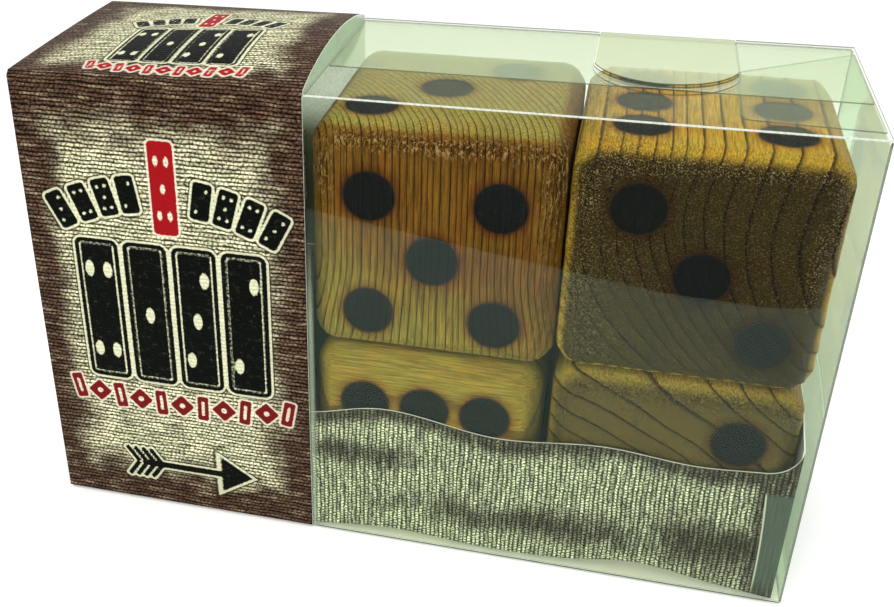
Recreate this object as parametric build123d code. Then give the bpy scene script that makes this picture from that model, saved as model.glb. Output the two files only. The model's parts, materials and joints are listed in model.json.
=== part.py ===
from build123d import *
import math
import os

# Giant yard dice in their pack: five solid wood dice in a folded clear box, with a card tray
# round their lower half, a card sleeve over the left end and a folded burlap bag on the fifth die.
# Frame: X along the pack, Y from front to back, Z up. The origin is under the pack's middle.
# All sizes are in millimetres.

# ---- driving dimensions ----
DIE = 88.9              # side of a die: the true section of a four-by-four post
UPPER_LEFT_DIE = 90.4   # the dice are sawn by hand, and two of them are off size
LOWER_LEFT_DIE = 87.2
DIE_ROUND = 9.5         # rounding of every edge and corner
PIP_RADIUS = 9.25
PIP_PITCH = 23.2        # from a pip to the next one in its row
PIP_DEPTH = 0.5

GAP = 0.3               # clearance between pieces that move past each other
FILM = 0.5              # clear box wall
CARD = 0.5              # card of the sleeve and of the tray

BOX_END = 148.2         # the clear box's right end
BOX_LEFT = -147.4       # its open left end, inside the sleeve
BOX_DEPTH = 93.4
BOX_TOP = 190.0

SLEEVE_LEFT = -148.2
SLEEVE_RIGHT = -37.0    # the sleeve covers a little over a third of the box
SLEEVE_RISE = 5.5       # how far its top panel bows up
LID_GAP = 0.4           # between the sleeve's end and the lid
STRIP_GAP = 0.2         # from the fixed strip of top to the sleeve's end
OVERCUT = 1.0           # how far a cutter reaches past the material it cuts

SLEEVE_SIDE_TOP = BOX_TOP + GAP + CARD
BOX_FRONT = -BOX_DEPTH / 2
BOX_BACK = BOX_DEPTH / 2
BOX_BOTTOM = CARD + GAP
LID_LEFT = SLEEVE_RIGHT + LID_GAP

# flaps of the box's top, in layers under the lid
LAYER = FILM + GAP
FLAP_TOP = BOX_TOP - LAYER
DUST_TOP = FLAP_TOP - LAYER
WALL_TOP = DUST_TOP - LAYER
INNER_FLAP_EDGE = -12.0     # its free edge
DUST_FLAP_LEFT = 105.0      # its free edge
DUST_FLAP_FRONT = -33.0     # front corner of its free edge, set back from the lid's hinge
DUST_FLAP_BACK = 13.0       # back corner of its free edge: the cut slants away from the crease
DUST_FLAP_FRONT_TAPER = 2.5
DUST_FLAP_BACK_TAPER = 30.0
DUST_FLAP_CORNER = 4.0

# the lock tongue and its notch in the lid
TONGUE_X = 81.5
TONGUE_HALF = 24.7
TONGUE_SIDE_END = 8.6       # where the straight sides end
TONGUE_TIP = -8.8
NOTCH_TIP = -19.2
CUT = 0.4                   # width of the cut beside the tongue
TONGUE_HINGE_STRIP = 2.0    # flap left whole along the back crease behind the tongue

# card tray
TRAY_RIGHT = 144.5
TRAY_FLOOR_TOP = BOX_BOTTOM + FILM + CARD
TRAY_FRONT_TOP = 60.0
TRAY_CORNER_TOP = 72.0
TRAY_BACK_TOP = 84.0
TRAY_END_MIDDLE_Y = -10.0   # the end wall's top passes through this place on its way back
TRAY_END_MIDDLE_TOP = 81.2
TRAY_SHOULDER = TRAY_CORNER_TOP - TRAY_FRONT_TOP    # quarter round up to the end wall
TRAY_WAVE = ((-147.4, 58.5), (-95.0, 62.0), (-37.0, 58.2), (-12.0, 64.0), (38.0, 58.2),
             (76.0, 61.4), (112.0, 58.6))           # points of the front wall's wavy top

# bag
BAG_LENGTH = 84.0
BAG_DEPTH = 82.0
BAG_HEIGHT = 56.0
BAG_ROUND = 9.0

LOWER_BOTTOM = TRAY_FLOOR_TOP + GAP
FIFTH_X = -102.0

# Each die: side, then its centre's x and y and its underside's z
PLACES = {
    "die_upper_left": (UPPER_LEFT_DIE, 8.55, 0.0, LOWER_BOTTOM + LOWER_LEFT_DIE + GAP),
    "die_upper_right": (DIE, 98.6, 0.0, LOWER_BOTTOM + DIE + GAP),
    "die_lower_left": (LOWER_LEFT_DIE, 8.0, -1.9, LOWER_BOTTOM),
    "die_lower_right": (DIE, 99.0, 0.0, LOWER_BOTTOM),
    "die_under_sleeve": (DIE, FIFTH_X, 0.0, LOWER_BOTTOM),
}

# Each die's values. Opposite faces add to seven, and one, two and three run anticlockwise round
# a corner.
VALUES = {
    "die_upper_left": {"front": 5, "top": 3, "right": 1},
    "die_upper_right": {"front": 3, "top": 6, "right": 2},
    "die_lower_left": {"front": 6, "top": 2, "right": 3},
    "die_lower_right": {"front": 2, "top": 4, "right": 1},
    "die_under_sleeve": {"front": 1, "top": 5, "right": 3},
}
# The faces whose pattern is turned a quarter
TURNED = {
    "die_upper_right": ("front", "back"),
    "die_lower_left": ("front",),
    "die_lower_right": ("left",),
}
# The faces whose hand-burnt pattern is off centre, and how far along its two axes
OFF_CENTRE = {
    "die_upper_left": {"front": (0.4, -4.0), "top": (-3.3, -0.7)},
    "die_upper_right": {"front": (1.7, -0.5)},
    "die_lower_left": {"front": (0.0, -2.6)},
}
OPPOSITE = {"front": "back", "top": "bottom", "right": "left"}

# Each face: its outward direction, and the direction of its pattern's first axis
FACES = {
    "front": ((0, -1, 0), (1, 0, 0)),
    "back": ((0, 1, 0), (-1, 0, 0)),
    "right": ((1, 0, 0), (0, 1, 0)),
    "left": ((-1, 0, 0), (0, -1, 0)),
    "top": ((0, 0, 1), (1, 0, 0)),
    "bottom": ((0, 0, -1), (1, 0, 0)),
}


def block(x0, x1, y0, y1, z0, z1):
    """A box between two corners."""
    size = Box(x1 - x0, y1 - y0, z1 - z0)
    return Pos((x0 + x1) / 2, (y0 + y1) / 2, (z0 + z1) / 2) * size


def sheet(outline, z0, thickness=FILM):
    """A flat outline in X and Y, made into a sheet above z0."""
    return extrude(Pos(0, 0, z0) * make_face(outline), amount=thickness, dir=(0, 0, 1))


# ---- dice ----
def pip_places(value):
    """The places of a face's pips, in pitches from the middle."""
    places = []
    if value % 2:
        places.append((0, 0))
    if value > 1:
        places += [(-1, -1), (1, 1)]
    if value > 3:
        places += [(1, -1), (-1, 1)]
    if value == 6:
        places += [(-1, 0), (1, 0)]
    return places


def pips(face, value, side, turned, shift):
    """Short cylinders that cut the shallow pips of one face."""
    outward, first = FACES[face]
    centre = tuple(d * side / 2 for d in outward)
    plane = Plane(origin=centre, x_dir=first, z_dir=outward)
    cutters = []
    for u, v in pip_places(value):
        if turned:
            u, v = -v, u
        place = Pos(u * PIP_PITCH + shift[0], v * PIP_PITCH + shift[1], 0)
        cutters.append(plane * place * Cylinder(PIP_RADIUS, 2 * PIP_DEPTH))
    return cutters


def die(name):
    """One solid wood die with rounded edges and pips on all six faces."""
    side, x, y, underside = PLACES[name]
    turned = TURNED.get(name, ())
    shifts = OFF_CENTRE.get(name, {})
    cube = Box(side, side, side)
    solid = fillet(cube.edges(), DIE_ROUND)
    for face, value in VALUES[name].items():
        for place, number in ((face, value), (OPPOSITE[face], 7 - value)):
            shift = shifts.get(place, (0.0, 0.0))
            for cutter in pips(place, number, side, place in turned, shift):
                solid -= cutter
    return Pos(x, y, underside + side / 2) * solid


# ---- clear box ----
def clear_box_body():
    """Front, back, bottom and right end, with the strip of top that the sleeve hides."""
    shell = block(BOX_LEFT, BOX_END, BOX_FRONT, BOX_BACK, BOX_BOTTOM, WALL_TOP)
    shell -= block(BOX_LEFT - OVERCUT, BOX_END - FILM, BOX_FRONT + FILM, BOX_BACK - FILM,
                   BOX_BOTTOM + FILM, WALL_TOP + OVERCUT)
    # the front panel reaches up to the lid, and the back panel up to the inner flap
    shell += block(BOX_LEFT, BOX_END, BOX_FRONT, BOX_FRONT + FILM, WALL_TOP, FLAP_TOP)
    shell += block(BOX_LEFT, BOX_END, BOX_BACK - FILM, BOX_BACK, WALL_TOP, DUST_TOP)
    strip_right = SLEEVE_RIGHT - STRIP_GAP
    shell += block(BOX_LEFT, strip_right, BOX_FRONT, BOX_BACK, BOX_TOP - FILM, BOX_TOP)
    shell += block(BOX_LEFT, strip_right, BOX_FRONT, BOX_FRONT + FILM, FLAP_TOP, BOX_TOP - FILM)
    shell += block(BOX_LEFT, strip_right, BOX_BACK - FILM, BOX_BACK, DUST_TOP, BOX_TOP - FILM)
    return shell


def d_outline(half, side_end, tip, back):
    """A D lying along Y: straight sides from the back edge and a round front end."""
    left = TONGUE_X - half
    right = TONGUE_X + half
    round_end = ThreePointArc((left, side_end), (TONGUE_X, tip), (right, side_end))
    sides = Polyline((right, side_end), (right, back), (left, back), (left, side_end))
    return Curve() + [round_end, sides]


def lid():
    """The top panel, hinged on the front crease, with a D-shaped notch in its back edge."""
    panel = block(LID_LEFT, BOX_END, BOX_FRONT, BOX_BACK, BOX_TOP - FILM, BOX_TOP)
    notch = d_outline(TONGUE_HALF + CUT, TONGUE_SIDE_END, NOTCH_TIP, BOX_BACK + OVERCUT)
    return panel - sheet(notch, BOX_TOP - 2 * FILM, 3 * FILM)


def lock_tongue():
    """The D-shaped tongue from the back crease that lies in the lid's notch."""
    outline = d_outline(TONGUE_HALF, TONGUE_SIDE_END, TONGUE_TIP, BOX_BACK)
    return sheet(outline, BOX_TOP - FILM)


def inner_flap():
    """The flap from the back crease, under the lid. The tongue was cut out of it."""
    panel = block(LID_LEFT, BOX_END - LAYER, INNER_FLAP_EDGE, BOX_BACK, FLAP_TOP - FILM, FLAP_TOP)
    hole_back = BOX_BACK - TONGUE_HINGE_STRIP
    hole = d_outline(TONGUE_HALF + CUT, TONGUE_SIDE_END, TONGUE_TIP - CUT, hole_back)
    return panel - sheet(hole, FLAP_TOP - 2 * FILM, 3 * FILM)


def end_dust_flap():
    """The flap from the right end's crease, lowest of the three layers."""
    outline = Polyline((BOX_END, DUST_FLAP_FRONT - DUST_FLAP_FRONT_TAPER),
                       (BOX_END, DUST_FLAP_BACK + DUST_FLAP_BACK_TAPER),
                       (DUST_FLAP_LEFT, DUST_FLAP_BACK), (DUST_FLAP_LEFT, DUST_FLAP_FRONT),
                       close=True)
    flap = sheet(outline, DUST_TOP - FILM)
    free_corners = flap.edges().filter_by(Axis.Z).group_by(Axis.X)[0]
    return fillet(free_corners, DUST_FLAP_CORNER)


# ---- card ----
def card_sleeve():
    """A printed card cap: bottom, sides and bowed top, closed at its left end."""
    def section(side, low, high, rise):
        return Curve() + [
            Polyline((-side, high), (-side, low), (side, low), (side, high)),
            ThreePointArc((side, high), (0, high + rise), (-side, high)),
        ]

    outer_side = BOX_BACK + GAP + CARD
    inner_side = BOX_BACK + GAP
    end = Plane(origin=(SLEEVE_LEFT, 0, 0), x_dir=(0, 1, 0), z_dir=(1, 0, 0))
    outer_section = section(outer_side, 0, SLEEVE_SIDE_TOP, SLEEVE_RISE)
    inner_section = section(inner_side, CARD, SLEEVE_SIDE_TOP - CARD, SLEEVE_RISE)
    length = SLEEVE_RIGHT - SLEEVE_LEFT
    outer = extrude(end * make_face(outer_section), amount=length)
    inner = extrude(end * make_face(inner_section), amount=length + OVERCUT)
    return outer - Pos(CARD, 0, 0) * inner


def tray_insert():
    """A folded card tray: floor, scooped front wall, back wall and right end wall."""
    floor_bottom = BOX_BOTTOM + FILM
    front = BOX_FRONT + FILM
    back = BOX_BACK - FILM
    tray = block(BOX_LEFT, TRAY_RIGHT, front, back, floor_bottom, TRAY_FLOOR_TOP)

    # the front wall's wavy top climbs in a quarter round to the end wall's corner
    foot = TRAY_RIGHT - TRAY_SHOULDER
    diagonal = TRAY_SHOULDER * math.sqrt(0.5)
    wave = Spline(*TRAY_WAVE, (foot, TRAY_FRONT_TOP))
    climb = ThreePointArc((foot, TRAY_FRONT_TOP), (foot + diagonal, TRAY_CORNER_TOP - diagonal),
                          (TRAY_RIGHT, TRAY_CORNER_TOP))
    first_x, first_z = TRAY_WAVE[0]
    rest = Polyline((TRAY_RIGHT, TRAY_CORNER_TOP), (TRAY_RIGHT, TRAY_FLOOR_TOP),
                    (first_x, TRAY_FLOOR_TOP), (first_x, first_z))
    wall_plane = Plane(origin=(0, front + CARD, 0), x_dir=(1, 0, 0), z_dir=(0, -1, 0))
    wall_face = make_face(Curve() + [wave, climb, rest])
    tray += extrude(wall_plane * wall_face, amount=CARD)
    tray += block(BOX_LEFT, TRAY_RIGHT, back - CARD, back, TRAY_FLOOR_TOP, TRAY_BACK_TOP)

    # the end wall's top climbs from the front corner to the back wall
    end_plane = Plane(origin=(TRAY_RIGHT - CARD, 0, 0), x_dir=(0, 1, 0), z_dir=(1, 0, 0))
    inside_front = front + CARD
    inside_back = back - CARD
    end_top = ThreePointArc((inside_front, TRAY_CORNER_TOP), (TRAY_END_MIDDLE_Y, TRAY_END_MIDDLE_TOP),
                            (inside_back, TRAY_BACK_TOP))
    end_rest = Polyline((inside_back, TRAY_BACK_TOP), (inside_back, TRAY_FLOOR_TOP),
                        (inside_front, TRAY_FLOOR_TOP), (inside_front, TRAY_CORNER_TOP))
    tray += extrude(end_plane * make_face(Curve() + [end_top, end_rest]), amount=CARD)
    return tray


# ---- bag ----
def burlap_bag():
    """The folded bag, as the plain block of cloth that it packs down to."""
    block_of_cloth = Box(BAG_LENGTH, BAG_DEPTH, BAG_HEIGHT)
    block_of_cloth = fillet(block_of_cloth.edges(), BAG_ROUND)
    bottom = LOWER_BOTTOM + DIE + GAP
    return Pos(FIFTH_X, 0, bottom + BAG_HEIGHT / 2) * block_of_cloth


def main():
    parts = {
        "clear_box_body": clear_box_body(),
        "clear_lid": lid(),
        "inner_flap": inner_flap(),
        "end_dust_flap": end_dust_flap(),
        "lock_tongue": lock_tongue(),
        "card_sleeve": card_sleeve(),
        "tray_insert": tray_insert(),
        "burlap_bag": burlap_bag(),
    }
    for name in PLACES:
        parts[name] = die(name)
    os.makedirs("parts", exist_ok=True)
    for name, solid in parts.items():
        export_step(solid, f"parts/{name}.step")
        box = solid.bounding_box()
        print(name, round(solid.volume), box.min, box.max)


main()
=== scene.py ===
import json
import math

import bpy
import numpy as np
from mathutils import Matrix, Vector


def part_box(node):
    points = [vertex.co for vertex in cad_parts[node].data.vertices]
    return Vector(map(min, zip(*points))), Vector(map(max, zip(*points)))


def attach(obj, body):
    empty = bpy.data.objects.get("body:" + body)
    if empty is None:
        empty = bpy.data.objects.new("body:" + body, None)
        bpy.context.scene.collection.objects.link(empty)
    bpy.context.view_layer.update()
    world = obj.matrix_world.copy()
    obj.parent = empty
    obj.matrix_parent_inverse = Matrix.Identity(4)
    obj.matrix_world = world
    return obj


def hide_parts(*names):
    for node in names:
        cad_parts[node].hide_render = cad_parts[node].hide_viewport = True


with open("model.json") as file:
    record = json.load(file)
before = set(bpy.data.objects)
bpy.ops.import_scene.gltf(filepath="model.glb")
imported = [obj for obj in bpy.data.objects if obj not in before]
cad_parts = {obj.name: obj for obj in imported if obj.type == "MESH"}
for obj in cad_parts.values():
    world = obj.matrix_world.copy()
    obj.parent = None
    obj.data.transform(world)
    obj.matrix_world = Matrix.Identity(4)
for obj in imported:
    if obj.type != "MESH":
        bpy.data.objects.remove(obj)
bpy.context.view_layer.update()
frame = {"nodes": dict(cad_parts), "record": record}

# Looks of the boxed wood dice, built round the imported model. Sizes are in millimetres, in the
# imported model's frame, and become metres where a mesh is made.

MM = 0.001

BODY_OF = {
    node: body
    for body, nodes in frame["record"]["behaviour"]["bodies"].items()
    for node in nodes
}


def cad_box(node):
    """A CAD node's lowest and highest corners, in millimetres."""
    low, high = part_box(node)
    return np.array(low) / MM, np.array(high) / MM


# ------------------------ camera, stage and light

CAMERA_PLACE = (0.06725, -0.40115, 0.32384)
CAMERA_YAW = 0.2722  # to the left of +Y
CAMERA_PITCH = 0.5169  # below the horizon
CAMERA_ROLL = -0.0189
CAMERA_LENS = 46.1
CAMERA_SHIFT = (0.141, -0.0145)


def new_object(name, data):
    made = bpy.data.objects.new(name, data)
    bpy.context.scene.collection.objects.link(made)
    return made


def make_camera():
    data = bpy.data.cameras.new("camera")
    data.sensor_width = 36.0
    data.lens = CAMERA_LENS
    data.shift_x, data.shift_y = CAMERA_SHIFT
    camera = new_object("camera", data)
    turn = Matrix.Rotation(CAMERA_YAW, 4, "Z")
    tilt = Matrix.Rotation(math.pi / 2 - CAMERA_PITCH, 4, "X")
    roll = Matrix.Rotation(CAMERA_ROLL, 4, "Z")
    camera.matrix_world = Matrix.Translation(CAMERA_PLACE) @ turn @ tilt @ roll
    bpy.context.scene.camera = camera


def area_light(name, place, target, size, power, colour=(1, 1, 1)):
    data = bpy.data.lights.new(name, "AREA")
    data.shape = "RECTANGLE"
    data.size, data.size_y = size
    data.energy = power
    data.color = colour
    light = new_object(name, data)
    light.location = place
    aim = Vector(target) - Vector(place)
    light.rotation_mode = "QUATERNION"
    light.rotation_quaternion = aim.to_track_quat("-Z", "Y")


def plane(name, outline, z, material):
    """A flat stage piece at height z, from its outline's corners in x and y."""
    mesh = bpy.data.meshes.new(name)
    mesh.from_pydata([(x, y, z) for x, y in outline], [], [tuple(range(len(outline)))])
    mesh.materials.append(material)
    made = new_object(name, mesh)
    return made


# ------------------------ shader helper

class Shader:
    """Builds one material from short calls. Values are numbers, colours or other nodes' sockets."""

    def __init__(self, name):
        self.material = bpy.data.materials.new(name)
        self.material.use_nodes = True
        self.tree = self.material.node_tree
        self.tree.nodes.clear()

    def node(self, kind, inputs=None, **settings):
        made = self.tree.nodes.new(kind)
        for key, value in settings.items():
            setattr(made, key, value)
        for key, value in (inputs or {}).items():
            if isinstance(value, bpy.types.NodeSocket):
                self.tree.links.new(value, made.inputs[key])
            else:
                made.inputs[key].default_value = value
        return made

    def math(self, operation, *values, clamp=False):
        inputs = dict(enumerate(values))
        return self.node("ShaderNodeMath", inputs, operation=operation, use_clamp=clamp).outputs[0]

    def add(self, a, b, clamp=False):
        return self.math("ADD", a, b, clamp=clamp)

    def multiply(self, a, b):
        return self.math("MULTIPLY", a, b)

    def wave(self, operation, value):
        """A sine or cosine wave with a hump, always upward, for each whole number."""
        return self.math("ABSOLUTE", self.math(operation, self.multiply(value, math.pi)))

    def swing(self, value, reach):
        """A noise value moved to lie about zero, half of reach at most either way."""
        return self.multiply(self.math("SUBTRACT", value, 0.5), reach)

    def vector(self, operation, a, b=(0, 0, 0)):
        return self.node("ShaderNodeVectorMath", {0: a, 1: b}, operation=operation).outputs[0]

    def attribute(self, name, output="Fac"):
        return self.node("ShaderNodeAttribute", attribute_name=name).outputs[output]

    def noise(self, vector, scale, detail=3.0, roughness=0.55, distortion=0.0):
        inputs = {"Vector": vector, "Scale": scale, "Detail": detail, "Roughness": roughness,
                  "Distortion": distortion}
        return self.node("ShaderNodeTexNoise", inputs).outputs[0]

    def fade(self, value, low, high, at_low=0.0, at_high=1.0):
        """A smooth step of value from low to high, between at_low and at_high."""
        inputs = {"Value": value, "From Min": low, "From Max": high, "To Min": at_low,
                  "To Max": at_high}
        made = self.node("ShaderNodeMapRange", inputs, interpolation_type="SMOOTHSTEP")
        return made.outputs[0]

    def mix(self, share, a, b, blend="MIX"):
        a, b = ((*c, 1) if isinstance(c, tuple) else c for c in (a, b))
        return self.node("ShaderNodeMix", {0: share, 6: a, 7: b}, data_type="RGBA",
                         blend_type=blend, clamp_factor=True).outputs[2]

    def tint(self, colour, by):
        return self.mix(1.0, colour, by, "MULTIPLY")

    def grey(self, level):
        return self.node("ShaderNodeCombineColor", {0: level, 1: level, 2: level}).outputs[0]

    def ramp(self, value, stops):
        made = self.node("ShaderNodeValToRGB", {"Fac": value})
        points = made.color_ramp.elements
        while len(points) < len(stops):
            points.new(0.5)
        for point, (place, colour) in zip(points, stops):
            point.position = place
            point.color = (*colour, 1) if hasattr(colour, "__len__") else (colour,) * 3 + (1,)
        return made.outputs[0]

    def bump(self, height, distance, strength):
        inputs = {"Height": height, "Distance": distance, "Strength": strength}
        return self.node("ShaderNodeBump", inputs).outputs[0]

    def place(self, kind="Object"):
        return self.node("ShaderNodeTexCoord").outputs[kind]

    def split(self, vector):
        return self.node("ShaderNodeSeparateXYZ", {0: vector}).outputs

    def cover(self, share, under, over):
        """A share of one surface laid over another."""
        return self.node("ShaderNodeMixShader", {0: share, 1: under, 2: over}).outputs[0]

    def principled(self, inputs):
        return self.node("ShaderNodeBsdfPrincipled", inputs).outputs[0]

    def finish(self, surface):
        self.material.cycles.emission_sampling = "NONE"
        output = self.node("ShaderNodeOutputMaterial")
        self.tree.links.new(surface, output.inputs["Surface"])
        return self.material


# ------------------------ mesh helpers

def hashed(x, y, z, seed):
    """A repeatable value from -1 to 1 for each whole-number cell."""
    h = (x * 374761393 + y * 668265263 + z * 1440662683 + seed * 362437) & 0xFFFFFFFF
    h = ((h ^ (h >> 13)) * 1274126177) & 0xFFFFFFFF
    return ((h ^ (h >> 16)) & 0xFFFF) / 32767.5 - 1.0


def noise(points, size, seed=0):
    """Smooth noise from -1 to 1 whose features are about size across."""
    scaled = np.asarray(points, float) / size
    cell = np.floor(scaled).astype(np.int64)
    part = scaled - cell
    part = part * part * (3 - 2 * part)
    total = 0
    for corner in np.ndindex(2, 2, 2):
        weight = 1
        for axis, step in enumerate(corner):
            share = part[..., axis]
            weight = weight * (share if step else 1 - share)
        total = total + weight * hashed(*(cell[..., k] + corner[k] for k in range(3)), seed)
    return total


def smooth_step(value, low, high):
    t = np.clip((value - low) / (high - low), 0, 1)
    return t * t * (3 - 2 * t)


def smooth_curve(places, x):
    """A smooth curve through (x, value) points, worked out at x."""
    px, py = (np.array(column, float) for column in zip(*places))
    slopes = np.gradient(py, px)
    i = np.clip(np.searchsorted(px, x) - 1, 0, len(px) - 2)
    width = px[i + 1] - px[i]
    t = np.clip((x - px[i]) / width, 0, 1)
    start = (1 + 2 * t) * (1 - t) ** 2 * py[i] + t * (1 - t) ** 2 * width * slopes[i]
    end = t * t * (3 - 2 * t) * py[i + 1] + t * t * (t - 1) * width * slopes[i + 1]
    return start + end


def signed_volume(points, quads):
    a, b, c, d = (points[quads[:, k]] for k in range(4))
    one = np.einsum("ij,ij->i", a, np.cross(b, c)).sum()
    two = np.einsum("ij,ij->i", a, np.cross(c, d)).sum()
    return one + two


def make_piece(name, points, quads, materials, faces=None, attributes=None):
    """A smooth mesh object from points in millimetres and four-sided faces."""
    if signed_volume(points, quads) < 0:
        quads = quads[:, ::-1]
    mesh = bpy.data.meshes.new(name)
    mesh.vertices.add(len(points))
    mesh.vertices.foreach_set("co", (points * MM).astype(np.float32).ravel())
    mesh.loops.add(quads.size)
    mesh.loops.foreach_set("vertex_index", quads.astype(np.int32).ravel())
    mesh.polygons.add(len(quads))
    mesh.polygons.foreach_set("loop_start", np.arange(0, quads.size, 4, dtype=np.int32))
    for material in materials:
        mesh.materials.append(material)
    if faces is not None:
        mesh.polygons.foreach_set("material_index", faces.astype(np.int32))
    mesh.update(calc_edges=True)
    mesh.shade_smooth()
    for key, values in (attributes or {}).items():
        values = np.asarray(values, np.float32)
        kind, field = ("FLOAT", "value") if values.ndim == 1 else ("FLOAT_VECTOR", "vector")
        mesh.attributes.new(key, kind, "POINT").data.foreach_set(field, values.ravel())
    return new_object(name, mesh)


def grid_quads(rows, columns, closed=False):
    i = np.arange(rows if closed else rows - 1)
    j = np.arange(columns - 1)
    i, j = np.meshgrid(i, j, indexing="ij")
    k = (i + 1) % rows
    corners = (i * columns + j, i * columns + j + 1, k * columns + j + 1, k * columns + j)
    return np.stack(corners, -1).reshape(-1, 4)


def slab(outer, inner, closed=False):
    """Joins a sheet's two faces, grids of points, into one closed skin.
    Returns its points, its faces, and for each face 0 outside, 1 inside or 2 on the rim."""
    rows, columns = outer.shape[:2]
    count = rows * columns
    points = np.concatenate([outer.reshape(-1, 3), inner.reshape(-1, 3)])
    face = grid_quads(rows, columns, closed)
    quads = [face, face[:, ::-1] + count]
    index = np.arange(count).reshape(rows, columns)
    borders = [(index[:, 0], False), (index[:, -1], True)]
    if not closed:
        borders += [(index[0], True), (index[-1], False)]
    for line, flip in borders:
        following = np.roll(line, -1) if closed else line[1:]
        line = line if closed else line[:-1]
        rim = np.stack([line, following, following + count, line + count], -1)
        quads.append(rim[:, ::-1] if flip else rim)
    sides = np.concatenate([np.full(len(q), min(k, 2)) for k, q in enumerate(quads)])
    return points, np.concatenate(quads), sides


def spaced(start, end, step):
    """Even places from start to end, about step apart."""
    return np.linspace(start, end, max(2, round(abs(end - start) / step) + 1))


def settle(piece, node):
    """The piece stands for that CAD node: it rides on its body, and the node is hidden."""
    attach(piece, BODY_OF[node])
    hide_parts(node)


# ------------------------ wood dice

DIE_ROUND = 9.5
PIP_RADIUS = 9.25
PIP_PITCH = 23.2
PIP_DEPTH = 0.5

# Each face: outward direction, the pattern's first axis, and the opposite face
FACES = {
    "front": ((0, -1, 0), (1, 0, 0), "back"),
    "back": ((0, 1, 0), (-1, 0, 0), "front"),
    "right": ((1, 0, 0), (0, 1, 0), "left"),
    "left": ((-1, 0, 0), (0, -1, 0), "right"),
    "top": ((0, 0, 1), (1, 0, 0), "bottom"),
    "bottom": ((0, 0, -1), (1, 0, 0), "top"),
}

# Each die: its values, the faces whose pattern is turned or off centre, which axis its fibre
# follows, where the pith lies on the other two axes, the rings' law and how much of a ring its
# dark line takes, how rough it is and where, how its crushed fibres look and how strong their
# painted glints are, its colours, the side that is paler and more olive (partly wood tone, partly
# a painted reflection of the film's haze), and how dark its end grain is. What a die leaves out
# is as in PLAIN_DIE.
PLAIN_DIE = dict(
    turned=(), shift={}, power=1.0, sweep=0, sweep_from=0, flare=0, taper=0, rough=(0, 0, 0),
    scar=None, hazed_side=(0, 0, -1), olive_end=0)
DICE = {
    "die_upper_left": dict(
        values={"front": 5, "top": 3, "right": 1}, fibre=2, pith=(-112, -72),
        shift={"front": (0.4, -4.0), "top": (-3.3, -0.7)},
        spacing=2.4, line=0.085, waver=0.8, flare=0.16, relief=0.24,
        painted_glint=0.55, worn=1.0, speck=(1.15, 0.3), early=(0.175, 0.079, 0.005),
        late=(0.012, 0.004, 0.001), olive_and_haze=(0.265, 0.215, 0.03), hazed_side=(-0.35, 0, -0.95),
        olive_end=1.0, end_shade=1.2),
    "die_upper_right": dict(
        values={"front": 3, "top": 6, "right": 2}, turned=("front", "back"), fibre=1,
        shift={"front": (1.7, -0.5)}, pith=(112, 13), power=2.0, spacing=1540, line=0.07,
        waver=2.0, sweep=15, sweep_from=20, relief=0.35, rough=(-0.6, 0, 0),
        scar=(38, 10), painted_glint=0.75, worn=0.85, speck=(1.9, 0.35),
        early=(0.43, 0.28, 0.028), late=(0.05, 0.018, 0.004), olive_and_haze=(0.78, 0.57, 0.07),
        hazed_side=(-0.6, 0.3, -0.7), end_shade=0.078),
    "die_lower_left": dict(
        values={"front": 6, "top": 2, "right": 3}, turned=("front",), fibre=0, pith=(47, -10),
        shift={"front": (0, -2.6)}, spacing=6.5, line=0.07, waver=0.7, taper=0.28, relief=0.08,
        painted_glint=0.4, worn=0.12, speck=(1.4, 0.6), early=(0.31, 0.235, 0.032),
        late=(0.17, 0.115, 0.016), olive_and_haze=(0.31, 0.25, 0.05), end_shade=0.6),
    "die_lower_right": dict(
        values={"front": 2, "top": 4, "right": 1}, turned=("left",), fibre=1, pith=(-78, -98),
        power=1.35, spacing=62, line=0.06, waver=2.0, relief=0.3, rough=(0, 0, 0.25), painted_glint=0.4,
        worn=0.6, speck=(1.9, 0.5), early=(0.37, 0.28, 0.045), late=(0.06, 0.03, 0.008),
        olive_and_haze=(0.40, 0.32, 0.07), end_shade=0.31),
    "die_under_sleeve": dict(
        values={"front": 1, "top": 5, "right": 3}, fibre=2, pith=(70, 95), spacing=3.6, line=0.1,
        waver=1.4, relief=0.22, painted_glint=0.6, worn=0.8, speck=(1.15, 0.3), early=(0.32, 0.16, 0.025),
        late=(0.06, 0.025, 0.006), olive_and_haze=(0.30, 0.205, 0.027), end_shade=0.8),
}


def pip_places(value):
    """The places of a face's pips, in pitches from the middle."""
    places = [(0, 0)] if value % 2 else []
    if value > 1:
        places += [(-1, -1), (1, 1)]
    if value > 3:
        places += [(1, -1), (-1, 1)]
    if value == 6:
        places += [(-1, 0), (1, 0)]
    return places


def rounded_cube(half, radius, cells):
    """Points, outward directions and faces of a cube with rounded edges, as an even skin."""
    t = np.linspace(-half, half, cells + 1)
    u, v = np.meshgrid(t, t, indexing="ij")
    flat = np.full_like(u, half)
    sides, quads = [], []
    for axis in range(3):
        for sign in (1, -1):
            grid = [sign * flat, u, v]
            grid = grid[-axis:] + grid[:-axis]
            face = grid_quads(cells + 1, cells + 1)
            quads.append((face if sign > 0 else face[:, ::-1]) + len(sides) * (cells + 1) ** 2)
            sides.append(np.stack(grid, -1).reshape(-1, 3))
    corners = np.concatenate(sides)
    core = np.clip(corners, -(half - radius), half - radius)
    outward = corners - core
    outward /= np.linalg.norm(outward, axis=1, keepdims=True)
    points = core + radius * outward
    keys = np.round(points * 1e4).astype(np.int64)
    _, first, where = np.unique(keys, axis=0, return_index=True, return_inverse=True)
    return points[first], outward[first], where.ravel()[np.concatenate(quads)]


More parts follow.
